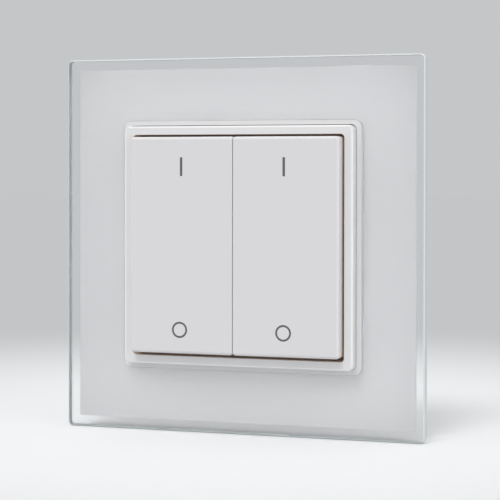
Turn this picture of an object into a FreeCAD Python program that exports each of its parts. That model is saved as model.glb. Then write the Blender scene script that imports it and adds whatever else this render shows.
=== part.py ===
import FreeCAD, Part
import math
import os

from FreeCAD import Vector

# Two-gang wireless dimmer switch: a battery radio transmitter with two rockers in a glass cover frame.
# Millimetres, +Z up, the front faces -Y. The origin is the middle of the back face, on the wall,
# so a depth d in front of the wall lies at y = -d.

# Wall plate, the moulded plate that is screwed to a flush box
plate_margin = 2.0
plate_thickness = 2.0
plate_corner = 4.0
plate_window_side = 45.0
plate_window_corner = 3.0
fixing_spacing = 60.0
fixing_slot_width = 3.8
fixing_slot_length = 7.0

# Glass cover with its white enamel coat and the tape that bonds it to the carrier
glass_overhang = 5.0
glass_thickness = 3.0
glass_corner = 1.2
glass_arris = 0.3
glass_opening_corner = 2.2
glass_opening_arris = 0.1
clear_border = 2.6
enamel_thickness = 0.2
tape_thickness = 0.5
tape_width = 6.0
tape_inset = 4.0
tape_end_gap = 1.5

# Carrier frame: flange behind the glass, lip through its opening, side walls and snap lugs
frame_standoff = 3.3
flange_thickness = 1.5
flange_inset = 0.4
side_wall_thickness = 1.4
wall_gap = 0.3
lip_width = 1.4
glass_play = 0.05

# Collar ring, which stands on the wall plate and comes through the lip, and the foam strip inside it
collar_opening = 56.0
collar_opening_corner = 1.0
collar_face_width = 2.2
collar_rise = 3.0
collar_corner = 1.3
collar_outer_edge = 0.5
collar_inner_edge = 0.15
seam_side = 0.1
seam_top = 0.22
seam_bottom = 0.05
foot_width = 1.8
foot_thickness = 0.8
foot_play = 0.1
leg_side = 3.6
seal_thickness = 1.5
lug_width = 8.0
lug_offset = 22.0
lug_thickness = 1.4
lug_play = 0.1
lug_hook = 0.5
lug_notch_height = 1.2
rib_span = 4.1
rib_thickness = 1.2
rib_offset = 22.0

# Transmitter housing
module_corner = 3.0
housing_wall = 1.2
housing_floor = 1.2
cover_thickness = 1.2
ear_reach = 7.0
ear_width = 7.0
ear_thickness = 1.6
ear_offset = 14.0
ear_hole_inset = 3.5
screw_boss_radius = 2.4
screw_boss_inset = 3.5
boss_dome_gap = 0.65

# Battery and its door
cell_diameter = 24.5
cell_thickness = 3.0
cell_cap_diameter = 20.1
cell_cap_step = 0.36
cell_play = 0.3
cell_wall = 1.0
cell_wall_height = 2.6
cell_headroom = 0.7
door_lip = 0.9
door_play = 0.1
coin_slot_length = 14.0
coin_slot_width = 2.0
coin_slot_depth = 0.7

# Circuit board and the parts soldered to it
board_thickness = 1.0
board_play = 0.2
component_room = 1.8
dome_diameter = 7.0
dome_rise = 0.35
dome_metal = 0.12
dome_rim = 0.5
shield_width = 12.0
shield_height = 10.0
shield_thickness = 1.5
shield_corner = 0.6
controller_side = 5.0
controller_thickness = 0.9
crystal_width = 3.2
crystal_height = 2.5
crystal_thickness = 0.8
crystal_corner = 0.4
antenna_length = 9.0
antenna_width = 2.0
antenna_thickness = 1.1
passive_length = 1.6
passive_width = 0.8
passive_thickness = 0.5
passive_pitch = 2.4
passive_count = 6
contact_metal = 0.2
contact_width = 5.0
contact_foot = 3.0
contact_reach = 8.6

# Rockers
gap_side = 0.575
gap_top = 0.58
gap_bottom = 0.92
gap_between = 0.15
rocker_wall = 1.5
skirt_wall = 1.2
skirt_overlap = 2.6
rocker_edge = 0.8
rocker_inner_edge = 0.2
rocker_corner = 0.9
rocker_angle = 2.0
lug_spacing = 11.0
rocker_lug_thickness = 1.8
bearing_spacing = 16.0
bearing_thickness = 2.0
pin_radius = 1.0
pin_running_clearance = 0.05
rocker_lug_wall = 0.9
rocker_lug_clearance = 0.3
bearing_wall = 0.5
bearing_clearance = 0.3

# Marks inlaid in the rocker faces. The shifts are how far the bar and the ring of each rocker sit
# to the right of its middle, as measured in the photo.
mark_shifts = {"left": (0.1, -0.3), "right": (-0.35, -0.45)}
mark_depth = 0.2
bar_width = 0.65
bar_length = 4.7
bar_height_above_pivot = 19.755
ring_radius = 2.05
ring_stroke = 0.5
ring_drop_below_pivot = 21.245

# Plungers and return springs
plunger_inset = 8.25
plunger_stem_radius = 1.5
plunger_play = 0.05
plunger_head_radius = 3.0
plunger_head_edge = 0.6
plunger_crown = 0.55
plunger_foot_radius = 1.9
plunger_foot_height = 0.25
plunger_foot_gap = 0.75
rocker_pad_radius = 2.4
rocker_pad_height = 0.7
rocker_pad_gap = 0.05
spring_wire = 0.35
spring_mean_radius = 2.25
spring_turns = 2.0

# Screws
housing_screw_radius = 1.0
housing_screw_head_radius = 1.9
housing_screw_head_height = 0.8
module_screw_radius = 1.0
module_screw_head_radius = 2.1
module_screw_head_height = 1.2
module_screw_tip_gap = 0.4
screw_hole_clearance = 0.15
screw_head_clearance = 0.2
drive_slot_width = 0.6
drive_depth_share = 0.6

# Depths in front of the wall, worked out from the stack of pieces
frame_seat = plate_thickness
flange_back = frame_seat + frame_standoff
flange_front = flange_back + flange_thickness
enamel_back = flange_front + tape_thickness
glass_back = enamel_back + enamel_thickness
glass_front = glass_back + glass_thickness
collar_front = glass_front + collar_rise

floor_front = plate_thickness + housing_floor
cell_front = floor_front + cell_thickness
board_back = cell_front + cell_headroom
board_front = board_back + board_thickness
cover_back = board_front + component_room
cover_front = cover_back + cover_thickness
pivot_depth = cover_front + rocker_lug_clearance + pin_radius + rocker_lug_wall
rocker_underside = pivot_depth + pin_radius + bearing_wall + bearing_clearance
rocker_front = rocker_underside + rocker_wall
plunger_tip = rocker_underside - rocker_pad_height - rocker_pad_gap
plunger_head_top = plunger_tip - plunger_crown
plunger_head_back = plunger_head_top - plunger_head_edge

# Widths worked out from the fixing screws outwards, up to the 95 mm of the glass
plate_side = fixing_spacing + fixing_slot_length + 2 * plate_margin
side_wall_side = plate_side + 2 * (lug_play + lug_thickness + rib_span + side_wall_thickness)
glass_side = side_wall_side + 2 * glass_overhang
enamel_side = glass_side - 2 * clear_border
flange_side = enamel_side - 2 * flange_inset
tape_length = flange_side - 2 * (tape_inset + tape_width + tape_end_gap)

# Widths worked out from the openings that the pieces fit
collar_side = collar_opening + 2 * collar_face_width
glass_opening = collar_side + 2 * lip_width
foot_side = collar_side + 2 * foot_width
rocker_width = (collar_opening - 2 * gap_side - gap_between) / 2
rocker_height = collar_opening - gap_top - gap_bottom
rocker_x = (rocker_width + gap_between) / 2
pivot_z = (gap_bottom - gap_top) / 2
plunger_arm = rocker_height / 2 - plunger_inset
boss_offset = rocker_x + dome_diameter / 2 + boss_dome_gap + screw_boss_radius
module_inside = 2 * (boss_offset + screw_boss_inset)
module_side = module_inside + 2 * housing_wall
board_side = module_inside - 2 * board_play
cell_radius = cell_diameter / 2
cell_ring_inside = cell_radius + cell_play
cell_ring_outside = cell_ring_inside + cell_wall
rocker_swing = math.sin(math.radians(rocker_angle)) * rocker_height / 2

SIDES = {"left": -1, "right": 1}
ENDS = {"top": 1, "bottom": -1}
IN_PLANE = 1e-6
THROUGH = 1.0


def block(width, height, near, far, x=0.0, z=0.0, corner=0.0):
    """Block centred on (x, z) between two depths from the wall, its corners rounded in front view."""
    solid = Part.makeBox(width, far - near, height, Vector(x - width / 2, -far, z - height / 2))
    if corner > 0:
        solid = solid.makeFillet(corner, from_back_to_front(solid))
    return solid


def disc(radius, near, far, x=0.0, z=0.0):
    """Round piece between two depths from the wall, centred on (x, z)."""
    return Part.makeCylinder(radius, far - near, Vector(x, -far, z), Vector(0, 1, 0))


def crossbar(radius, x_from, x_to, depth, z):
    """Round bar along X."""
    return Part.makeCylinder(radius, x_to - x_from, Vector(x_from, -depth, z), Vector(1, 0, 0))


def turned(points, x, z):
    """Solid of revolution about the line from back to front at (x, z).

    Each point is a radius and a depth. A point with a third entry is reached by an arc,
    and that entry is the radius and depth of the arc's middle.
    """
    place = [Vector(x + p[0], -p[1], z) for p in points]
    edges = []
    for i, point in enumerate(points):
        start = place[i - 1]
        if len(point) == 3:
            middle = Vector(x + point[2][0], -point[2][1], z)
            edges.append(Part.Arc(start, middle, place[i]).toShape())
        else:
            edges.append(Part.LineSegment(start, place[i]).toShape())
    profile = Part.Face(Part.Wire(edges))
    return profile.revolve(Vector(x, 0, z), Vector(0, 1, 0), 360)


def from_back_to_front(solid):
    """Edges that run straight away from the wall."""
    return [e for e in solid.Edges if abs(e.tangentAt(e.FirstParameter).y) > 1 - IN_PLANE]


def at_x(edges, x):
    """Those of the edges whose ends lie at a distance along X."""
    return [e for e in edges if all(abs(v.X - x) < IN_PLANE for v in e.Vertexes)]


def rim(solid, depth, inside=0.0, outside=math.inf):
    """Edges in the plane at a depth whose points lie between two distances from the middle."""
    found = []
    for edge in solid.Edges:
        reach = [max(abs(v.X), abs(v.Z)) for v in edge.Vertexes]
        flat = all(abs(v.Y + depth) < IN_PLANE for v in edge.Vertexes)
        if flat and min(reach) > inside and max(reach) < outside:
            found.append(edge)
    return found


def edges_at(solid, depth):
    """Every edge in the plane at a depth."""
    return [e for e in solid.Edges if all(abs(v.Y + depth) < IN_PLANE for v in e.Vertexes)]


def save(name, *solids):
    """Write one node, as one solid or as a group of separate solids."""
    shape = solids[0] if len(solids) == 1 else Part.makeCompound(list(solids))
    shape.exportStep("parts/" + name + ".step")
    print(f"{name:28s} solids {len(shape.Solids)}  valid {shape.isValid()}  volume {shape.Volume:9.2f}")


def wall_plate():
    """Moulded plate with the module's window, two pairs of fixing slots and four lug notches."""
    plate = block(plate_side, plate_side, 0, plate_thickness, corner=plate_corner)
    window = block(plate_window_side, plate_window_side, -THROUGH, plate_thickness + THROUGH,
                   corner=plate_window_corner)
    plate = plate.cut(window)
    straight = fixing_slot_length - fixing_slot_width
    for sign in (-1, 1):
        for along_x in (True, False):
            x = sign * fixing_spacing / 2 if along_x else 0.0
            z = 0.0 if along_x else sign * fixing_spacing / 2
            width = straight if along_x else fixing_slot_width
            height = fixing_slot_width if along_x else straight
            plate = plate.cut(block(width, height, -THROUGH, plate_thickness + THROUGH, x, z))
            for end in (-1, 1):
                end_x = x + end * straight / 2 if along_x else x
                end_z = z if along_x else z + end * straight / 2
                plate = plate.cut(disc(fixing_slot_width / 2, -THROUGH, plate_thickness + THROUGH,
                                       end_x, end_z))
    for x, z in module_screw_places():
        plate = plate.cut(disc(module_screw_radius, module_screw_tip_gap, plate_thickness + THROUGH, x, z))
    notch_in = lug_hook + lug_play
    for x, sign in lug_places():
        plate = plate.cut(block(lug_width + 2 * lug_play, 2 * notch_in, -THROUGH, lug_notch_height,
                                x, sign * plate_side / 2))
    return plate


def lug_places():
    """The four snap lugs: distance along X, and +1 for the top edge or -1 for the bottom edge."""
    return [(x * lug_offset, sign) for x in (-1, 1) for sign in (-1, 1)]


def module_screw_places():
    """The four screws that hold the transmitter on the wall plate."""
    reach = module_side / 2 + ear_hole_inset
    return [(sx * reach, sz * ear_offset) for sx in (-1, 1) for sz in (-1, 1)]


def boss_places():
    """The four housing screws in the module's corners."""
    return [(sx * boss_offset, sz * boss_offset) for sx in (-1, 1) for sz in (-1, 1)]


def glass_panel():
    """Clear float glass with a square opening, its arrises polished off, less so at the opening."""
    sheet = block(glass_side, glass_side, glass_back, glass_front, corner=glass_corner)
    sheet = sheet.cut(block(glass_opening, glass_opening, glass_back - THROUGH, glass_front + THROUGH,
                            corner=glass_opening_corner))
    within = glass_opening / 2 + IN_PLANE
    inner = rim(sheet, glass_front, outside=within) + rim(sheet, glass_back, outside=within)
    sheet = sheet.makeChamfer(glass_opening_arris, inner)
    beyond = glass_side / 2 - 2 * glass_corner
    return sheet.makeChamfer(glass_arris, rim(sheet, glass_front, beyond) + rim(sheet, glass_back, beyond))


def glass_enamel():
    """White coat on the back of the glass, which leaves a clear border outside."""
    coat = block(enamel_side, enamel_side, enamel_back, glass_back)
    opening = glass_opening + 2 * glass_opening_arris
    return coat.cut(block(opening, opening, enamel_back - THROUGH, glass_back + THROUGH,
                          corner=glass_opening_corner))


def bonding_tape():
    """Four strips of double-sided tape between the coat and the flange."""
    reach = flange_side / 2 - tape_inset - tape_width / 2
    strips = []
    for sign in (-1, 1):
        strips.append(block(tape_length, tape_width, flange_front, enamel_back, z=sign * reach))
        strips.append(block(tape_width, tape_length, flange_front, enamel_back, x=sign * reach))
    return strips


def frame_carrier():
    """White frame bonded to the glass, which clips over the wall plate's edge."""
    lip_side = glass_opening - 2 * glass_play
    body = block(flange_side, flange_side, flange_back, flange_front)
    body = body.fuse(block(lip_side, lip_side, flange_back, glass_front,
                           corner=glass_opening_corner - glass_play))
    skirt = block(side_wall_side, side_wall_side, wall_gap, flange_back)
    inside = side_wall_side - 2 * side_wall_thickness
    body = body.fuse(skirt.cut(block(inside, inside, wall_gap - THROUGH, flange_back + THROUGH)))

    for x, sign in lug_places():
        inner = plate_side / 2 + lug_play
        wall = block(lug_width, lug_thickness, wall_gap, flange_back, x, sign * (inner + lug_thickness / 2))
        reach = lug_hook + lug_play
        hook = block(lug_width, reach, wall_gap, lug_notch_height, x, sign * (inner - reach / 2))
        body = body.fuse([wall, hook])

    rib_middle = side_wall_side / 2 - side_wall_thickness - rib_span / 2
    for side in (-1, 1):
        for end in (-1, 1):
            body = body.fuse(block(rib_span, rib_thickness, frame_seat, flange_back,
                                   side * rib_middle, end * rib_offset))

    body = body.cut(block(collar_side + 2 * seam_side, collar_side + seam_top + seam_bottom,
                          flange_back - THROUGH, glass_front + THROUGH, z=(seam_top - seam_bottom) / 2,
                          corner=collar_corner + seam_side))
    rebate = foot_side + 2 * foot_play
    body = body.cut(block(rebate, rebate, flange_back - THROUGH, flange_back + foot_thickness))
    return body.removeSplitter()


def collar_ring():
    """White ring round the rockers: a wall, a foot under the carrier's rebate and a leg in each corner."""
    ring = block(collar_side, collar_side, flange_back, collar_front, corner=collar_corner)
    ring = ring.makeFillet(collar_outer_edge, edges_at(ring, collar_front))
    ring = ring.fuse(block(foot_side, foot_side, flange_back, flange_back + foot_thickness))
    reach = (foot_side - leg_side) / 2
    for sx in (-1, 1):
        for sz in (-1, 1):
            ring = ring.fuse(block(leg_side, leg_side, frame_seat, flange_back, sx * reach, sz * reach))
    ring = ring.cut(block(collar_opening, collar_opening, frame_seat - THROUGH, collar_front + THROUGH,
                          corner=collar_opening_corner)).removeSplitter()
    return ring.makeFillet(collar_inner_edge, rim(ring, collar_front, outside=collar_opening / 2 + IN_PLANE))


def dust_seal():
    """Foam strip round the transmitter that closes the gap to the collar behind the rockers."""
    seal_front = board_front + seal_thickness
    strip = block(collar_opening, collar_opening, board_front, seal_front, corner=collar_opening_corner)
    return strip.cut(block(module_side, module_side, board_front - THROUGH, seal_front + THROUGH,
                           corner=module_corner))


def rear_housing():
    """Rear half of the transmitter: floor with the battery opening, walls, bosses, ears."""
    shell = block(module_side, module_side, plate_thickness, board_front, corner=module_corner)
    shell = shell.cut(block(module_inside, module_inside, floor_front, board_front + THROUGH,
                            corner=module_corner - housing_wall))
    for x, z in boss_places():
        shell = shell.fuse(disc(screw_boss_radius, plate_thickness, board_back, x, z))
    ring = disc(cell_ring_outside, plate_thickness, floor_front + cell_wall_height)
    for x, z in module_screw_places():
        ear_x = math.copysign(module_side / 2 + (ear_reach - housing_wall) / 2, x)
        shell = shell.fuse(block(ear_reach + housing_wall, ear_width, plate_thickness,
                                 plate_thickness + ear_thickness, ear_x, z))
    shell = shell.fuse(ring)
    shell = shell.cut(disc(cell_ring_inside, floor_front - THROUGH - housing_floor, board_back))
    shell = shell.cut(disc(cell_ring_inside + door_lip, plate_thickness - THROUGH,
                           plate_thickness + housing_floor / 2))
    slot = contact_width + 2 * cell_play
    shell = shell.cut(block(2 * cell_wall, slot, floor_front, board_back,
                            x=cell_ring_outside - cell_wall / 2))
    for x, z in boss_places():
        shell = shell.cut(disc(housing_screw_radius + screw_hole_clearance, plate_thickness - THROUGH,
                               board_back + THROUGH, x, z))
        shell = shell.cut(disc(housing_screw_head_radius + screw_head_clearance, plate_thickness - THROUGH,
                               plate_thickness + housing_screw_head_height + screw_head_clearance, x, z))
    for x, z in module_screw_places():
        shell = shell.cut(disc(module_screw_radius + screw_hole_clearance, plate_thickness - THROUGH,
                               plate_thickness + ear_thickness + THROUGH, x, z))
    return shell.removeSplitter()


def battery_door():
    """Round door in the back of the module, with a slot for a coin."""
    step = plate_thickness + housing_floor / 2
    outer = disc(cell_ring_inside + door_lip - door_play, plate_thickness, step)
    inner = disc(cell_ring_inside - door_play, plate_thickness, floor_front)
    slot = block(coin_slot_length, coin_slot_width, plate_thickness - THROUGH,
                 plate_thickness + coin_slot_depth)
    return outer.fuse(inner).cut(slot).removeSplitter()


def coin_cell():
    """Button cell: a wide can with a narrower negative cap towards the board."""
    can = disc(cell_radius, floor_front, cell_front - cell_cap_step)
    return can.fuse(disc(cell_cap_diameter / 2, floor_front, cell_front)).removeSplitter()


def battery_contact_positive():
    """Spring leaf beside the cell's can, with a foot soldered to the back of the board."""
    x = cell_radius
    leaf = block(contact_metal, contact_width, floor_front + cell_play, board_back, x=x + contact_metal / 2)
    foot = block(contact_foot, contact_width, board_back - contact_metal, board_back, x=x + contact_foot / 2)
    return leaf.fuse(foot).removeSplitter()


def battery_contact_negative():
    """Leaf with a soldered foot that slopes down onto the middle of the cell's cap."""
    foot_near = -contact_reach
    foot_far = foot_near + contact_foot
    low = cell_front
    top = board_back
    outline = [
        (foot_near, top),
        (foot_far, top),
        (contact_foot, low + contact_metal),
        (contact_foot, low),
        (contact_metal, low),
        (foot_far - contact_metal, top - contact_metal),
        (foot_near, top - contact_metal),
    ]
    points = [Vector(x, -depth, -contact_width / 2) for x, depth in outline]
    face = Part.Face(Part.makePolygon(points + points[:1]))
    return face.extrude(Vector(0, 0, contact_width))


def circuit_board():
    """Board that lies on the rear housing's bosses and is clamped by the front cover."""
    board = block(board_side, board_side, board_back, board_front, corner=module_corner - housing_wall)
    for x, z in boss_places():
        board = board.cut(disc(housing_screw_radius + screw_hole_clearance, board_back - THROUGH,
                               board_front + THROUGH, x, z))
    return board


def radio_shield():
    """Tinned can over the radio stage, open towards the board."""
    z = -shield_height / 2 - passive_pitch
    can = block(shield_width, shield_height, board_front, board_front + shield_thickness, z=z,
                corner=shield_corner)
    hollow = block(shield_width - 2 * contact_metal, shield_height - 2 * contact_metal, board_front - THROUGH,
                   board_front + shield_thickness - contact_metal, z=z)
    return can.cut(hollow)


def controller_chip():
    """Flat square package in the middle of the upper half of the board."""
    return block(controller_side, controller_side, board_front, board_front + controller_thickness,
                 z=controller_side)


def crystal():
    """Small metal can beside the controller."""
    x = controller_side / 2 + crystal_width
    return block(crystal_width, crystal_height, board_front, board_front + crystal_thickness,
                 x=x, z=controller_side, corner=crystal_corner)


def chip_antenna():
    """Ceramic antenna at the top edge of the board."""
    z = board_side / 2 - 2 * antenna_width
    return block(antenna_length, antenna_width, board_front, board_front + antenna_thickness, z=z)


def chip_passives():
    """A row of small resistors and capacitors between the shield and the controller."""
    parts = []
    for i in range(passive_count):
        x = (i - (passive_count - 1) / 2) * passive_pitch
        parts.append(block(passive_width, passive_length, board_front, board_front + passive_thickness, x=x))
    return parts


def plunger_places():
    """Name, x and z of each plunger: one behind each end of each rocker."""
    return {f"{side}_{end}": (sx * rocker_x, pivot_z + sz * plunger_arm)
            for side, sx in SIDES.items() for end, sz in ENDS.items()}


def contact_dome(x, z):
    """Shallow metal snap dome that closes a switch when its plunger presses it."""
    radius = dome_diameter / 2
    inner = radius - dome_rim
    inner_rise = dome_rise - dome_metal
    return turned([
        (radius, board_front),
        (0, board_front + dome_rise, on_cap(radius, board_front, dome_rise)),
        (0, board_front + inner_rise),
        (inner, board_front, on_cap(inner, board_front, inner_rise)),
    ], x, z)


def on_cap(radius, base, rise):
    """Radius and depth of the point halfway along a spherical cap's arc, from its rim to its top."""
    ball = (radius ** 2 + rise ** 2) / (2 * rise)
    half = math.asin(radius / ball) / 2
    return (ball * math.sin(half), base + rise - ball * (1 - math.cos(half)))


def front_cover():
    """Front half of the transmitter: bosses inside, bearing posts and plunger holes outside."""
    shell = block(module_side, module_side, board_front, cover_front, corner=module_corner)
    shell = shell.cut(block(module_inside, module_inside, board_front - THROUGH, cover_back,
                            corner=module_corner - housing_wall))
    for x, z in boss_places():
        shell = shell.fuse(disc(screw_boss_radius, board_front, cover_front, x, z))
        shell = shell.cut(disc(housing_screw_radius, board_front - THROUGH, cover_back, x, z))
    for x, z in plunger_places().values():
        shell = shell.cut(disc(plunger_stem_radius + plunger_play, cover_back - THROUGH,
                               cover_front + THROUGH, x, z))
    post_radius = pin_radius + bearing_wall
    for sx in SIDES.values():
        for end in (-1, 1):
            x = sx * rocker_x + end * bearing_spacing / 2
            post = block(bearing_thickness, 2 * post_radius, cover_back, pivot_depth, x, pivot_z)
            head = crossbar(post_radius, x - bearing_thickness / 2, x + bearing_thickness / 2,
                            pivot_depth, pivot_z)
            shell = shell.fuse([post, head])
    for sx in SIDES.values():
        reach = bearing_spacing / 2 + bearing_thickness
        shell = shell.cut(crossbar(pin_radius, sx * rocker_x - reach, sx * rocker_x + reach,
                                   pivot_depth, pivot_z))
    return shell.removeSplitter()


def hinge_pin(side):
    """Steel pin pressed into two bearing posts; the rocker's lugs turn on it."""
    reach = bearing_spacing / 2 + bearing_thickness / 2
    x = SIDES[side] * rocker_x
    return crossbar(pin_radius, x - reach, x + reach, pivot_depth, pivot_z)


def rocker(side):
    """Rocker cap: a shallow tray with two hinge lugs and a pad over each plunger."""
    sx = SIDES[side]
    x = sx * rocker_x
    skirt_back = collar_front - skirt_overlap
    cap = block(rocker_width, rocker_height, skirt_back, rocker_front, x, pivot_z)
    near_middle = sx * gap_between / 2
    cap = cap.makeFillet(rocker_inner_edge, at_x(edges_at(cap, rocker_front), near_middle))
    cap = cap.makeFillet(rocker_corner, at_x(from_back_to_front(cap), near_middle + sx * rocker_width))
    front_edges = edges_at(cap, rocker_front)
    rounded = at_x(front_edges, near_middle + sx * rocker_inner_edge)
    cap = cap.makeFillet(rocker_edge, [e for e in front_edges if not any(e.isSame(r) for r in rounded)])
    cap = cap.cut(block(rocker_width - 2 * skirt_wall, rocker_height - 2 * skirt_wall,
                        skirt_back - THROUGH, rocker_underside, x, pivot_z))
    middle_back = cover_front + rocker_swing + rocker_lug_clearance
    middle_x = sx * (gap_between + skirt_wall) / 2
    cap = cap.cut(block(skirt_wall + gap_between, rocker_height + THROUGH, skirt_back - THROUGH, middle_back,
                        middle_x, pivot_z))
    lug_radius = pin_radius + rocker_lug_wall
    for end in (-1, 1):
        lug_x = x + end * lug_spacing / 2
        half = rocker_lug_thickness / 2
        web = block(rocker_lug_thickness, 2 * lug_radius, pivot_depth, rocker_front - rocker_wall / 2,
                    lug_x, pivot_z)
        eye = crossbar(lug_radius, lug_x - half, lug_x + half, pivot_depth, pivot_z)
        cap = cap.fuse([web, eye])
        pad_z = pivot_z + end * plunger_arm
        cap = cap.fuse(disc(rocker_pad_radius, rocker_underside - rocker_pad_height,
                            rocker_front - rocker_wall / 2, x, pad_z))
    bore = pin_radius + pin_running_clearance
    cap = cap.cut(crossbar(bore, x - lug_spacing, x + lug_spacing, pivot_depth, pivot_z))
    for mark in rocker_marks(side, proud=THROUGH):
        cap = cap.cut(mark)
    return cap.removeSplitter()


def rocker_marks(side, proud=0.0):
    """Upright bar at the top and ring at the bottom, inlaid flush in the rocker's face."""
    bar_x, ring_x = (SIDES[side] * rocker_x + shift for shift in mark_shifts[side])
    near = rocker_front - mark_depth
    far = rocker_front + proud
    bar = block(bar_width, bar_length, near, far, bar_x, pivot_z + bar_height_above_pivot)
    ring_z = pivot_z - ring_drop_below_pivot
    ring = disc(ring_radius, near, far, ring_x, ring_z).cut(
        disc(ring_radius - ring_stroke, near - THROUGH, far + THROUGH, ring_x, ring_z))
    return [bar, ring]


def plunger(x, z):
    """Plunger with a crowned head under the rocker, a stem and a retaining foot."""
    foot_back = board_front + plunger_foot_gap
    foot_front = foot_back + plunger_foot_height
    return turned([
        (0, foot_back),
        (plunger_foot_radius - plunger_foot_height, foot_back),
        (plunger_foot_radius, foot_front),
        (plunger_stem_radius, foot_front),
        (plunger_stem_radius, plunger_head_back),
        (plunger_head_radius, plunger_head_back),
        (plunger_head_radius, plunger_head_top),
        (0, plunger_tip, on_cap(plunger_head_radius, plunger_head_top, plunger_crown)),
    ], x, z)


def arc_from(start, tangent, end):
    """Arc that leaves a point along a tangent and ends at another point."""
    chord = end - start
    along = Vector(chord).normalize()
    across = tangent - along * tangent.dot(along)
    half = math.acos(max(-1.0, min(1.0, tangent.dot(along))))
    middle = (start + end) * 0.5 + across.normalize() * (chord.Length / 2 * math.tan(half / 2))
    return Part.Arc(start, middle, end).toShape()


def spring_path(x, z):
    """Helix from the cover to the plunger's head as two tangent arcs for each quarter turn."""
    low = cover_front + spring_wire / 2
    climb = plunger_head_back - spring_wire / 2 - low
    slope = climb / (2 * math.pi * spring_turns)

    def point(angle):
        return Vector(x + spring_mean_radius * math.cos(angle), -(low + slope * angle),
                      z + spring_mean_radius * math.sin(angle))

    def direction(angle):
        return Vector(-spring_mean_radius * math.sin(angle), -slope,
                      spring_mean_radius * math.cos(angle)).normalize()

    edges = []
    quarters = round(4 * spring_turns)
    for i in range(quarters):
        a, b = i * math.pi / 2, (i + 1) * math.pi / 2
        p, q, t, u = point(a), point(b), direction(a), direction(b)
        span = q - p
        both = t + u
        spread = 2 * (1 - t.dot(u))
        reach = (-span.dot(both) + math.sqrt(span.dot(both) ** 2 + spread * span.dot(span))) / spread
        joint = (p + q) * 0.5 + (t - u) * (reach / 2)
        edges.append(arc_from(p, t, joint))
        edges.append(arc_from(q, u * -1, joint))
    samples = [point(k * math.pi / 24) for k in range(12 * quarters + 1)]
    least = min(samples[i].distanceToPoint(samples[j])
                for i in range(len(samples)) for j in range(i + 36, len(samples)))
    return Part.Wire(edges), direction(0.0), point(0.0), least - spring_wire


def plunger_spring(x, z):
    """Round-wire compression spring round the stem, one unbroken tube."""
    path, heading, start, least_gap = spring_path(x, z)
    section = Part.Wire(Part.Circle(start, heading, spring_wire / 2).toShape())
    coil = path.makePipeShell([section], True, False)
    expected = math.pi * (spring_wire / 2) ** 2 * path.Length
    print(f"spring at {x:6.2f} {z:6.2f}: least gap between turns {least_gap:.3f} mm, "
          f"volume {coil.Volume:.4f} against section times length {expected:.4f}")
    return coil


def screw(x, z, seat, tip, towards, radius, head_radius, head_height):
    """Pan-head screw with a cross recess. The seat and tip are depths; towards is the head's side."""
    head_end = seat + towards * head_height
    near, far = sorted((seat, head_end))
    head = disc(head_radius, near, far, x, z)
    head = head.makeFillet(head_height * drive_depth_share / 2, edges_at(head, head_end))
    near, far = sorted((seat, tip))
    body = head.fuse(disc(radius, near, far, x, z))
    near, far = sorted((head_end - towards * head_height * drive_depth_share, head_end + towards * THROUGH))
    arm = 2 * head_radius * drive_depth_share
    body = body.cut(block(arm, drive_slot_width, near, far, x, z))
    body = body.cut(block(drive_slot_width, arm, near, far, x, z))
    return body.removeSplitter()


def housing_screws():
    """Four screws from the back through the rear housing and board into the cover."""
    seat = plate_thickness + housing_screw_head_height + screw_head_clearance
    return [screw(x, z, seat, cover_back, -1, housing_screw_radius, housing_screw_head_radius,
                  housing_screw_head_height) for x, z in boss_places()]


def module_screws():
    """Four screws from the front through the housing's ears into the wall plate."""
    seat = plate_thickness + ear_thickness
    return [screw(x, z, seat, module_screw_tip_gap, 1, module_screw_radius, module_screw_head_radius,
                  module_screw_head_height) for x, z in module_screw_places()]


def build():
    """Write every node."""
    os.makedirs("parts", exist_ok=True)
    save("wall_plate", wall_plate())
    save("frame_carrier", frame_carrier())
    save("collar_ring", collar_ring())
    save("bonding_tape", *bonding_tape())
    save("glass_enamel", glass_enamel())
    save("glass_panel", glass_panel())
    save("dust_seal", dust_seal())
    save("rear_housing", rear_housing())
    save("battery_door", battery_door())
    save("coin_cell", coin_cell())
    save("battery_contact_positive", battery_contact_positive())
    save("battery_contact_negative", battery_contact_negative())
    save("circuit_board", circuit_board())
    save("radio_shield", radio_shield())
    save("controller_chip", controller_chip())
    save("crystal", crystal())
    save("chip_antenna", chip_antenna())
    save("chip_passives", *chip_passives())
    save("front_cover", front_cover())
    save("housing_screws", *housing_screws())
    save("module_screws", *module_screws())
    for side in SIDES:
        save(side + "_hinge_pin", hinge_pin(side))
        save(side + "_rocker", rocker(side))
        save(side + "_rocker_marks", *rocker_marks(side))
    for place, (x, z) in plunger_places().items():
        save(place + "_dome", contact_dome(x, z))
        save(place + "_plunger", plunger(x, z))
        save(place + "_spring", plunger_spring(x, z))


build()
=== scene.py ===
import math

import bpy
import numpy as np
from mathutils import Matrix, Vector


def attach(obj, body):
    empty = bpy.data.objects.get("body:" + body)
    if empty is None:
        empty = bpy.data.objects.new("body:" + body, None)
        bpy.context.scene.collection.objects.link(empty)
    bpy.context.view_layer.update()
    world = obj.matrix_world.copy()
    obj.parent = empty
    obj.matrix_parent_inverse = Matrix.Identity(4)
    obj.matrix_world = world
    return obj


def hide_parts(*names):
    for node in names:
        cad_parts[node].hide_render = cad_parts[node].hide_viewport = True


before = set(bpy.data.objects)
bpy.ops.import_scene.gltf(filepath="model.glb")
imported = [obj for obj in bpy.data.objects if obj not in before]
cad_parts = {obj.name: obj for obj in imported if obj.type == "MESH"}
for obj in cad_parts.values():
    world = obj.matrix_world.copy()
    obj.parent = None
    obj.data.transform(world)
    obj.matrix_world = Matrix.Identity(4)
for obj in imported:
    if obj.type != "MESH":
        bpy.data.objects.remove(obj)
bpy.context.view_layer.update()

# Camera
# A long lens stands a little to the right of the switch and just above its middle. It is held
# almost level, and its frame is slid down, so that the uprights stay parallel.
camera_place = (0.14491, -0.42331, 0.01936)
camera_yaw = math.radians(19.02)
camera_pitch = math.radians(0.82)
camera_roll = math.radians(0.07)
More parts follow.
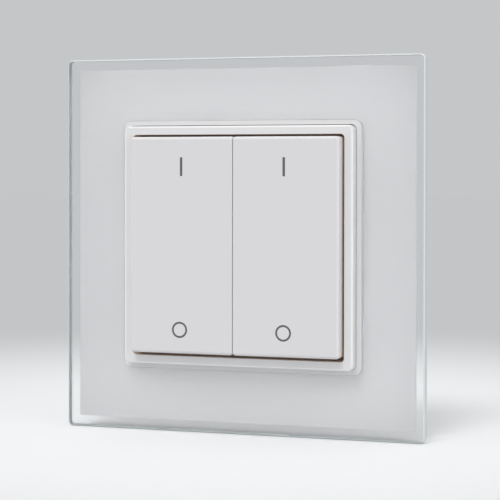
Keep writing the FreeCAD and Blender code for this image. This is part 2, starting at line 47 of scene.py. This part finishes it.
lens = bpy.data.cameras.new("camera")
lens.lens = 125.25
lens.sensor_width = 36.0
lens.shift_y = -0.1122
lens.clip_start = 0.01
lens.clip_end = 50.0
camera = bpy.data.objects.new("camera", lens)
camera.matrix_world = (
    Matrix.Translation(camera_place)
    @ Matrix.Rotation(camera_yaw, 4, "Z")
    @ Matrix.Rotation(math.pi / 2 - camera_pitch, 4, "X")
    @ Matrix.Rotation(camera_roll, 4, "Z")
)
bpy.context.scene.collection.objects.link(camera)
bpy.context.scene.camera = camera
bpy.context.scene.view_settings.view_transform = "Standard"
# Filter Glossy would hold back the light that reaches the enamel through the clear glass.
bpy.context.scene.cycles.blur_glossy = 0.0


# Wall plate and carrier
# A flat plate and a clip-on frame of white ABS, both injection moulded. Two screws through the
# plate's slots hold it to a flush box, and the carrier snaps onto it with the glass.
def linear(code):
    """Turns an sRGB hex code to linear light. A channel up to 0.04045 is divided by 12.92, and
    above that it is (c + 0.055) / 1.055 to the power 2.4."""
    c = np.array([int(code[i : i + 2], 16) for i in (0, 2, 4)]) / 255
    return (*np.where(c <= 0.04045, c / 12.92, ((c + 0.055) / 1.055) ** 2.4), 1.0)


def add(tree, kind, values=None, links=None, **settings):
    """Adds a node. Settings are its properties, values its sockets and links what feeds them. A
    Mix node of colours takes its share at socket 0 and its colours at 6 and 7, and gives its
    result at 2."""
    node = tree.nodes.new(kind)
    for name, value in settings.items():
        setattr(node, name, value)
    for name, value in (values or {}).items():
        node.inputs[name].default_value = value
    for name, (source, output) in (links or {}).items():
        tree.links.new(source.outputs[output], node.inputs[name])
    return node


def new_finish(name):
    """A material with its shader, and the place on the object in metres to draw patterns by."""
    finish = bpy.data.materials.new(name)
    finish.use_nodes = True
    tree = finish.node_tree
    place = {"Vector": (add(tree, "ShaderNodeTexCoord"), "Object")}
    return finish, tree, tree.nodes["Principled BSDF"], place


def vary_shade(tree, noise, light, dark):
    """Mixes the base colour from the light shade to the dark one, in proportion to the noise."""
    shades = {6: linear(light), 7: linear(dark)}
    mixed = add(tree, "ShaderNodeMix", shades, {0: (noise, 0)}, data_type="RGBA")
    tree.links.new(mixed.outputs[2], tree.nodes["Principled BSDF"].inputs["Base Color"])


def vary_roughness(tree, noise, low, high):
    """Lets the roughness climb from low to high while the noise climbs from 0.3 to 0.7."""
    span = {"From Min": 0.3, "From Max": 0.7, "To Min": low, "To Max": high}
    wander = add(tree, "ShaderNodeMapRange", span, {"Value": (noise, 0)})
    tree.links.new(wander.outputs[0], tree.nodes["Principled BSDF"].inputs["Roughness"])


def grained_finish(name, light, dark, roughness, grain, depth):
    """Plastic, ceramic, foam or paper. Two close shades drift over 25 mm, the roughness wanders
    between its two values over 4 mm, and a grain of that spacing stands up by depth. No grain is
    under 0.3 mm, because a finer one wouldn't show."""
    finish, tree, shader, place = new_finish(name)
    drift_spacing, patch_spacing = 0.025, 0.004
    drift = add(tree, "ShaderNodeTexNoise", {"Scale": 1 / drift_spacing, "Detail": 3.0}, place)
    vary_shade(tree, drift, light, dark)
    patch = add(tree, "ShaderNodeTexNoise", {"Scale": 1 / patch_spacing, "Detail": 4.0}, place)
    vary_roughness(tree, patch, *roughness)
    pits = add(tree, "ShaderNodeTexNoise", {"Scale": 1 / grain, "Detail": 2.0}, place)
    rise = {"Strength": 1.0, "Distance": depth}
    relief = add(tree, "ShaderNodeBump", rise, {"Height": (pits, 0)})
    tree.links.new(relief.outputs[0], shader.inputs["Normal"])
    shader.inputs["IOR"].default_value = 1.54
    return finish


def dress(finish, *names):
    """Gives CAD nodes of these names a finish."""
    for name in names:
        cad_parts[name].material_slots[0].material = finish


# A spark eroded mould leaves an even satin that reflects nothing clearly. Its grain is about
# 0.1 mm and is drawn at 0.45 mm, so that it shows.
carrier_abs = grained_finish(
    "satin_moulded_abs", "DCDCDD", "D9D9DA", roughness=(0.36, 0.46), grain=0.00045, depth=0.000006
)
dress(carrier_abs, "wall_plate", "frame_carrier")


# Collar ring
# A square ring of the same white ABS that comes through the glass and stands 3 mm proud of it. Its
# inner wall is the far side of the gap round the rockers, painted a warm tan for the light
# bouncing in the gap.
def past_outline(tree, half_width, half_height, middle):
    """Two nodes: the axes of a place, and how far it lies past the outline of a rectangle. That
    is the larger of |x| - half width and |z - middle| - half height, and below 0 inside."""
    place = add(tree, "ShaderNodeTexCoord")
    centred = add(tree, "ShaderNodeMapping", {"Location": (0, 0, -middle)}, {0: (place, "Object")})
    axes = add(tree, "ShaderNodeSeparateXYZ", None, {0: (centred, 0)})
    over = []
    for axis, half in (("X", half_width), ("Z", half_height)):
        off = add(tree, "ShaderNodeMath", None, {0: (axes, axis)}, operation="ABSOLUTE")
        over.append(add(tree, "ShaderNodeMath", {1: half}, {0: (off, 0)}, operation="SUBTRACT"))
    both = {0: (over[0], 0), 1: (over[1], 0)}
    return axes, add(tree, "ShaderNodeMath", None, both, operation="MAXIMUM")


def tint(tree, code, first, second):
    """Turns the base colour to the hex code, by the product of two shares."""
    base = tree.nodes["Principled BSDF"].inputs["Base Color"]
    both = {0: (first, 0), 1: (second, 0)}
    share = add(tree, "ShaderNodeMath", None, both, operation="MULTIPLY")
    plain = {0: (share, 0), 6: (base.links[0].from_node, 2)}
    mixed = add(tree, "ShaderNodeMix", {7: linear(code)}, plain, data_type="RGBA")
    tree.links.new(mixed.outputs[2], base)


def paint_gap_warm_light(finish):
    """Paints warm light into the square of the collar's opening: a warm tan that stands in for
    light bouncing in the gap. The share of tan climbs from 0 at the collar's face to 1 over half a
    millimetre of depth."""
    tree = finish.node_tree
    collar_opening_half, warm_light_front, warm_light_run = 0.02808, 0.0136, 0.0005
    axes, past = past_outline(tree, collar_opening_half, collar_opening_half, 0.0)
    span = {"From Min": -warm_light_front, "From Max": warm_light_run - warm_light_front}
    below = add(tree, "ShaderNodeMapRange", span, {"Value": (axes, "Y")})
    within = add(tree, "ShaderNodeMath", {1: 0.0}, {0: (past, 0)}, operation="LESS_THAN")
    tint(tree, "F0E1D7", below, within)


def paint_rim_highlight(finish, pale, half_width, half_height, middle, width, deepest):
    """Paints a highlight on the rim of a rectangle: a paler shade that stands in for the light the
    rounded edge catches. The share of it climbs from 0 at width inside the outline to 1 at a
    quarter of width, and it ends at the depth of deepest."""
    tree = finish.node_tree
    axes, past = past_outline(tree, half_width, half_height, middle)
    span = {"From Min": -width, "From Max": -width / 4}
    near = add(tree, "ShaderNodeMapRange", span, {"Value": (past, 0)})
    proud = add(tree, "ShaderNodeMath", {1: -deepest}, {0: (axes, "Y")}, operation="LESS_THAN")
    tint(tree, pale, near, proud)


# The same satin as the carrier's. A painted warm tan gives the gap its brown, standing in for
# light bouncing in it, and a painted highlight draws a thin pale line round the ring's rim.
collar_abs = grained_finish(
    "satin_collar_abs", "DCDCDD", "D9D9DA", roughness=(0.36, 0.46), grain=0.00045, depth=0.000006
)
paint_gap_warm_light(collar_abs)
paint_rim_highlight(
    collar_abs,
    "EEEDED",
    half_width=0.0302,
    half_height=0.0302,
    middle=0.0,
    width=0.0006,
    deepest=0.013,
)
dress(collar_abs, "collar_ring")

# Transmitter housing
# Two half shells and a round battery door of white ABS, moulded with a coarser grain than the
# visible front. Four screws close the shells.

# The coarse grain looks duller and a shade greyer than the front.
housing_abs = grained_finish(
    "grained_moulded_abs", "D6D7D6", "CFD0CE", roughness=(0.45, 0.6), grain=0.0006, depth=0.000012
)
dress(housing_abs, "rear_housing", "front_cover", "battery_door")


# Coin cell and its contacts
# The cell's can is nickel plated steel, spun. Both contacts are bent from phosphor bronze strip
# and soldered to the board: one presses on the can's side, the other on its cap.
def metal_finish(name, light, dark, roughness, patch):
    """Bare or plated metal. Two shades and two values of roughness wander together over patches
    of that width."""
    finish, tree, shader, place = new_finish(name)
    cloud = add(tree, "ShaderNodeTexNoise", {"Scale": 1 / patch, "Detail": 5.0}, place)
    vary_shade(tree, cloud, light, dark)
    vary_roughness(tree, cloud, *roughness)
    shader.inputs["Metallic"].default_value = 1.0
    return finish


# Nickel is bright and faintly yellow, and its spun face blurs what it reflects.
nickel = metal_finish(
    "spun_nickel_plate", "D2D0C8", "C2C0B8", roughness=(0.18, 0.32), patch=0.002
)
dress(nickel, "coin_cell")
# Rolled bronze is a light copper colour with a soft sheen.
bronze = metal_finish(
    "rolled_phosphor_bronze", "D0A47C", "B98C66", roughness=(0.25, 0.4), patch=0.002
)
dress(bronze, "battery_contact_positive", "battery_contact_negative")


# Circuit board and its components
# A board of glass epoxy that is clamped in the housing, with its parts soldered on: a tinned can
# over the radio stage, a chip, a crystal, an antenna and small ceramic parts.
def circuit_finish():
    """Solder mask over copper. The joints of a brick pattern, 5.2 mm by 1.3 mm, are the tracks,
    lighter than the rest and standing up a little."""
    finish, tree, shader, place = new_finish("green_solder_mask")
    turned = add(tree, "ShaderNodeMapping", {"Rotation": (math.pi / 2, 0, 0)}, place)
    board = {
        "Color1": linear("1E5E3A"),
        "Color2": linear("22683F"),
        "Mortar": linear("3F8F57"),
        "Scale": 1.0,
        "Mortar Size": 0.0001,
        "Brick Width": 0.0052,
        "Row Height": 0.0013,
    }
    tracks = add(tree, "ShaderNodeTexBrick", board, {"Vector": (turned, 0)})
    tree.links.new(tracks.outputs["Color"], shader.inputs["Base Color"])
    rise = {"Strength": 1.0, "Distance": 0.00003}
    relief = add(tree, "ShaderNodeBump", rise, {"Height": (tracks, "Fac")})
    tree.links.new(relief.outputs[0], shader.inputs["Normal"])
    shader.inputs["Roughness"].default_value = 0.3
    return finish


# The mask is a deep glossy green, and the tracks show lighter through it.
dress(circuit_finish(), "circuit_board")
# Tinned sheet is a cool pale grey, clouded by its plating.
tinned_sheet = metal_finish(
    "tinned_steel_sheet", "C9CCCE", "B4B8BA", roughness=(0.25, 0.45), patch=0.0015
)
dress(tinned_sheet, "radio_shield", "crystal")
# The moulded epoxy of a chip is nearly black and dull.
chip_epoxy = grained_finish(
    "black_chip_epoxy", "222325", "1A1B1C", roughness=(0.5, 0.65), grain=0.0003, depth=0.00001
)
dress(chip_epoxy, "controller_chip")
# Fired ceramic is cream coloured, with a faint gloss.
ceramic = grained_finish(
    "fired_ceramic", "C9C4B4", "B9B3A2", roughness=(0.4, 0.6), grain=0.0003, depth=0.000005
)
dress(ceramic, "chip_antenna", "chip_passives")

# Snap domes and plunger springs
# The domes of stainless strip are pressed, and sit on the board. A wound coil of stainless wire
# round each plunger's stem pushes its head back.

# Strip and wire are rolled and drawn bright, and reflect in a soft grey.
spring_steel = metal_finish(
    "bright_spring_steel", "BFC1C3", "A9ABAD", roughness=(0.2, 0.35), patch=0.0012
)
quarters = [f"{side}_{end}" for side in ("left", "right") for end in ("top", "bottom")]
dress(spring_steel, *[f"{quarter}_{kind}" for quarter in quarters for kind in ("dome", "spring")])

# Plungers
# Moulded posts of white acetal, with a head behind the rocker and a stem through the housing's
# cover. A foot keeps each in its hole and presses the snap dome.

# Acetal is a warmer white than ABS and finer, with a waxy sheen.
acetal = grained_finish(
    "waxy_acetal", "E6E4DC", "DEDCD2", roughness=(0.35, 0.45), grain=0.0004, depth=0.000003
)
dress(acetal, *[f"{quarter}_plunger" for quarter in quarters])

# Dust seal
# A strip of brown closed-cell foam, die cut and stuck round the transmitter. It closes the gap to
# the collar, and it is what the eye meets at the bottom of the dark gaps round the rockers.

# Foam has no shine, and its cells of half a millimetre make it uneven. Its brown is painted shade,
# standing in for the warm shade at the bottom of the gaps round the rockers.
seal_foam_painted_shade = grained_finish(
    "brown_seal_painted_shade", "B39C8B", "A48D7C", roughness=(0.8, 0.95), grain=0.0005, depth=0.00004
)
dress(seal_foam_painted_shade, "dust_seal")

# Screws and hinge pins
# Steel screws close the housing and hold it on the wall plate. Steel pins, pressed into posts on
# the cover, carry the rockers.

# Zinc plate is a bluish grey of middling gloss.
zinc = metal_finish("zinc_plate", "C6CACF", "AEB3B8", roughness=(0.25, 0.4), patch=0.001)
dress(zinc, "housing_screws", "module_screws")
# Ground steel is a plain grey, and shinier.
ground_steel = metal_finish("ground_steel", "B5B6B8", "A0A1A3", roughness=(0.2, 0.3), patch=0.0008)
dress(ground_steel, "left_hinge_pin", "right_hinge_pin")

# Bonding tape and enamel
# White acrylic foam strips bond the glass to the carrier. The enamel is a white ceramic coat that
# is printed on the back of the glass and fired.

# The tape is matt, with the fine cells of its foam.
tape_foam = grained_finish(
    "acrylic_foam", "DADBD8", "CFD0CD", roughness=(0.7, 0.85), grain=0.0004, depth=0.00003
)
dress(tape_foam, "bonding_tape")
# The enamel is an even, very clear white, with the orange peel of its fired surface 2 mm wide. It
# is one with the glass, so no face between the two shines.
fired_enamel = grained_finish(
    "fired_white_enamel", "FCFBFC", "FAFAFA", roughness=(0.25, 0.35), grain=0.002, depth=0.000002
)
fired_enamel.node_tree.nodes["Principled BSDF"].inputs["Specular IOR Level"].default_value = 0.0
dress(fired_enamel, "glass_enamel")


# Glass cover
# Float glass 3 mm thick, cut square with a square opening, its edge ground to a satin and its
# arrises broken with a fine wheel. Tape behind the enamel bonds it to the carrier.
def glass_finish(name, colour, roughness, patch, detail):
    """Glass of one colour. Its roughness wanders between the two values over patches of that
    width."""
    finish, tree, shader, place = new_finish(name)
    shader.inputs["Base Color"].default_value = linear(colour)
    shader.inputs["IOR"].default_value = 1.52
    cloud = add(tree, "ShaderNodeTexNoise", {"Scale": 1 / patch, "Detail": detail}, place)
    vary_roughness(tree, cloud, *roughness)
    return finish


def rounded_square(half, corner, steps=10):
    """Points round a square with sides at plus and minus half. Each corner is a quarter circle
    of radius corner round the point where both coordinates are half minus corner."""
    turn = np.linspace(0, math.pi / 2, steps)
    angle = (np.arange(4)[:, None] * math.pi / 2 + turn).ravel()
    signs = np.repeat([[1, 1], [-1, 1], [-1, -1], [1, -1]], steps, axis=0)
    arc = np.stack([np.cos(angle), np.sin(angle)], 1) * corner
    return signs * (half - corner) + arc


def square_ring(name, profile, finishes):
    """A closed ring. Each row of profile is a rounded square, with half its side, its corner, its
    depth in front of the wall, and the finish from there to the next row. The rows are joined
    round, the last to the first."""
    rows = [
        np.insert(rounded_square(half, corner), 1, -depth, axis=1)
        for half, corner, depth, _ in profile
    ]
    here = np.arange(len(rows) * len(rows[0])).reshape(len(rows), -1)
    beside = np.roll(here, -1, axis=1)
    faces = np.stack([here, np.roll(here, -1, axis=0), np.roll(beside, -1, axis=0), beside], -1)
    mesh = bpy.data.meshes.new(name)
    mesh.from_pydata(np.concatenate(rows).tolist(), [], faces.reshape(-1, 4).tolist())
    for finish in finishes:
        mesh.materials.append(finish)
    bands = [finishes.index(finish) for *_, finish in profile]
    mesh.polygons.foreach_set("material_index", np.repeat(bands, len(rows[0])))
    ring = bpy.data.objects.new(name, mesh)
    bpy.context.scene.collection.objects.link(ring)
    return ring


# Float glass is clear and smooth. A faint haze is left where a cloth has wiped it.
clear_glass = glass_finish(
    "clear_float_glass", "FBFCFD", roughness=(0.0, 0.02), patch=0.02, detail=4.0
)
clear_glass.node_tree.nodes["Principled BSDF"].inputs["Transmission Weight"].default_value = 1.0
# The ground edge is a grey satin that blurs what it reflects. The little light that comes through
# the real one is left out, because it would show as noise.
satin_edge = glass_finish(
    "satin_polished_glass_edge", "C8CFD1", roughness=(0.28, 0.34), patch=0.004, detail=2.0
)
# The arrises stay as the wheel leaves them, so they draw a thin pale line. The marks of the grit
# are about 0.1 mm and are drawn at 0.4 mm, so that they show.
broken_arris = glass_finish(
    "ground_glass_arris", "D6DBDC", roughness=(0.4, 0.55), patch=0.0004, detail=3.0
)
glass_half, glass_corner, glass_arris = 0.0475, 0.0012, 0.0003
opening_half, opening_corner, opening_arris = 0.031565, 0.0022, 0.0001
enamel_half, enamel_corner = 0.0449, 0.00001
glass_back, glass_front = 0.00752, 0.0105
face_half, face_corner = glass_half - glass_arris, glass_corner - glass_arris
rim_half, rim_corner = opening_half + opening_arris, opening_corner + opening_arris
# The rows go from the wall of the opening over the front and the edge to the back. Enamel has run
# into the opening, so its wall is as white as the back.
glass_profile = [
    (opening_half, opening_corner, glass_back + opening_arris, fired_enamel),
    (opening_half, opening_corner, glass_front - opening_arris, broken_arris),
    (rim_half, rim_corner, glass_front, clear_glass),
    (face_half, face_corner, glass_front, broken_arris),
    (glass_half, glass_corner, glass_front - glass_arris, satin_edge),
    (glass_half, glass_corner, glass_back + glass_arris, broken_arris),
    (face_half, face_corner, glass_back, clear_glass),
    (enamel_half, enamel_corner, glass_back, fired_enamel),
    (rim_half, rim_corner, glass_back, fired_enamel),
]
glass_finishes = [clear_glass, satin_edge, fired_enamel, broken_arris]
glass = square_ring("glass_cover", glass_profile, glass_finishes)
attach(glass, "base")
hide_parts("glass_panel")

# Rockers
# Two moulded caps of white ABS, each on a steel pin. A bar and a ring of grey plastic are inlaid
# in the face of each.

# The satin is a little finer than the carrier's. A painted warm tan gives the gap its brown,
# standing in for light bouncing in it, and a painted highlight draws a thin pale line round each
# cap.
rocker_abs = grained_finish(
    "satin_rocker_abs", "D7D6D8", "D4D3D5", roughness=(0.36, 0.44), grain=0.0004, depth=0.000004
)
paint_gap_warm_light(rocker_abs)
paint_rim_highlight(
    rocker_abs,
    "E2DFE1",
    half_width=0.027425,
    half_height=0.02725,
    middle=0.00017,
    width=0.0006,
    deepest=0.0135,
)
dress(rocker_abs, "left_rocker", "right_rocker")
# The inlay is a dull, slightly bluish grey.
inlay = grained_finish(
    "grey_inlay", "5C5C61", "545459", roughness=(0.4, 0.5), grain=0.0004, depth=0.000003
)
dress(inlay, "left_rocker_marks", "right_rocker_marks")


# Studio
# A pale floor, a soft light from all round and three broad lamps: the strongest above in front,
# and one on each side. What looks past the object sees a plain pale ground.
def seen_directly(tree):
    """1 for what the camera sees straight on, in a reflection or through the glass, and 0 for the
    rays that carry light from one surface to the next. It is the largest of the marks of those
    three kinds of ray, each 0 or 1, times 1 where the diffuse depth is under a half."""
    ray = add(tree, "ShaderNodeLightPath")
    reflected = {0: (ray, "Is Camera Ray"), 1: (ray, "Is Glossy Ray")}
    seen = add(tree, "ShaderNodeMath", None, reflected, operation="MAXIMUM")
    through = {0: (seen, 0), 1: (ray, "Is Transmission Ray")}
    seen = add(tree, "ShaderNodeMath", None, through, operation="MAXIMUM")
    depth = {0: (ray, "Diffuse Depth")}
    first = add(tree, "ShaderNodeMath", {1: 0.5}, depth, operation="LESS_THAN")
    both = {0: (seen, 0), 1: (first, 0)}
    return add(tree, "ShaderNodeMath", None, both, operation="MULTIPLY")


# The floor is a disc just below the glass. The radii of its rings grow with their number squared.
floor_radius = 4.0
floor_level = -0.0476
ring_count = 39
spoke_count = 96
radii = floor_radius * np.linspace(0, 1, ring_count + 1)[1:] ** 2
turns = np.linspace(0, 2 * math.pi, spoke_count, endpoint=False)
flat = np.stack([np.outer(radii, np.cos(turns)), np.outer(radii, np.sin(turns))], -1)
points = np.insert(np.concatenate([[[0, 0]], flat.reshape(-1, 2)]), 2, floor_level, axis=1)
here = 1 + np.arange(ring_count * spoke_count).reshape(ring_count, spoke_count)
beside = np.roll(here, -1, axis=1)
quads = np.stack([here[:-1], here[1:], beside[1:], beside[:-1]], -1).reshape(-1, 4)
middle = np.stack([np.zeros(spoke_count, int), here[0], beside[0]], -1)
floor_mesh = bpy.data.meshes.new("floor")
floor_mesh.from_pydata(points.tolist(), [], quads.tolist() + middle.tolist())
floor = bpy.data.objects.new("floor", floor_mesh)
bpy.context.scene.collection.objects.link(floor)
# Matt paper. As it is seen, it has a painted pool of light: nearly white round the object, and
# darker into the backdrop from 60 mm to 300 mm away. The light that it sends back has its own
# plain grey.
paper = grained_finish(
    "pale_paper", "D8D9DA", "D6D7D8", roughness=(0.8, 0.9), grain=0.002, depth=0.00001
)
tree = paper.node_tree
paper_colour = tree.nodes["Principled BSDF"].inputs["Base Color"]
floor_place = {0: (add(tree, "ShaderNodeTexCoord"), "Object")}
away = add(tree, "ShaderNodeVectorMath", None, floor_place, operation="LENGTH")
far = add(
    tree,
    "ShaderNodeMapRange",
    {"From Min": 0.06, "From Max": 0.3},
    {"Value": (away, "Value")},
    interpolation_type="SMOOTHSTEP",
)
near_and_far = {6: linear("F1F2F3"), 7: linear("BEBFC1")}
painted_light_pool = add(tree, "ShaderNodeMix", near_and_far, {0: (far, 0)}, data_type="RGBA")
own_or_seen = {0: (seen_directly(tree), 0), 6: (paper_colour.links[0].from_node, 2), 7: (painted_light_pool, 2)}
tone = add(tree, "ShaderNodeMix", None, own_or_seen, data_type="RGBA")
tree.links.new(tone.outputs[2], paper_colour)
floor_mesh.materials.append(paper)

# The world lights the object with plain white, and is seen as the grey of the far floor.
world = bpy.data.worlds.new("studio")
world.use_nodes = True
bpy.context.scene.world = world
tree = world.node_tree
soft_light = tree.nodes["Background"]
soft_light.inputs["Color"].default_value = linear("FFFFFF")
soft_light.inputs["Strength"].default_value = 0.71
backdrop = add(tree, "ShaderNodeBackground", {"Color": linear("C5C6C8"), "Strength": 1.0})
light_or_seen = {0: (seen_directly(tree), 0), 1: (soft_light, 0), 2: (backdrop, 0)}
surround = add(tree, "ShaderNodeMixShader", None, light_or_seen)
tree.links.new(surround.outputs[0], tree.nodes["World Output"].inputs["Surface"])

# Each lamp has the direction it stands in, its strength and its breadth in degrees.
for name, direction, strength, breadth in (
    ("key_lamp", (-0.1, -1.0, 1.35), 1.15, 22),
    ("left_lamp", (-1.0, -0.5, 0.1), 0.4, 60),
    ("right_lamp", (1.0, -0.35, 0.1), 0.75, 40),
):
    lamp = bpy.data.lights.new(name, "SUN")
    lamp.energy = strength
    lamp.angle = math.radians(breadth)
    sun = bpy.data.objects.new(name, lamp)
    bpy.context.scene.collection.objects.link(sun)
    sun.rotation_mode = "QUATERNION"
    sun.rotation_quaternion = Vector(direction).to_track_quat("Z", "Y")

bpy.context.view_layer.update()
